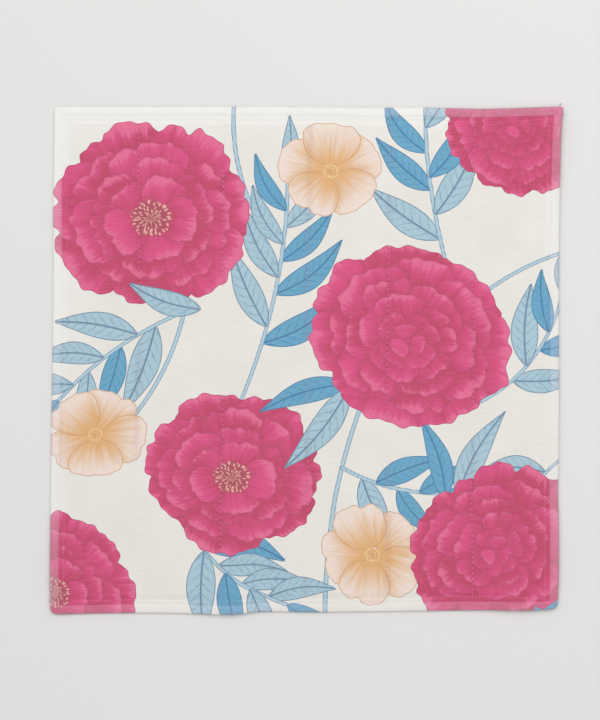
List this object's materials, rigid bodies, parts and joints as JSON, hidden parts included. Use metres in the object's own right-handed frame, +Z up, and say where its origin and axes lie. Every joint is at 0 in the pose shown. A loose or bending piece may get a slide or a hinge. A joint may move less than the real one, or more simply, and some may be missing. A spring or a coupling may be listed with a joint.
{
  "type": "square kitchen tea towel",
  "caption": "Square tea towel of layered cotton gauze, lying open and flat, sewn through in parallel seams, with a thick topstitched hem strip and a flower print.",
  "frame": {"origin": "middle of the cloth's bounding box, on the flat underside that lies on the table", "axes": "+Z up out of the printed face, +Y along the seams towards the picture's top edge, +X across the seams towards the picture's right edge"},
  "size_m": [0.303, 0.3002, 0.0034],
  "materials": {
    "printed_gauze": "matt off-white plain-weave cotton gauze, printed in magenta, soft blue and apricot, sewn with off-white thread"
  },
  "bodies": {
    "root": {"cloth": "printed_gauze"}
  },
  "joints": []
}
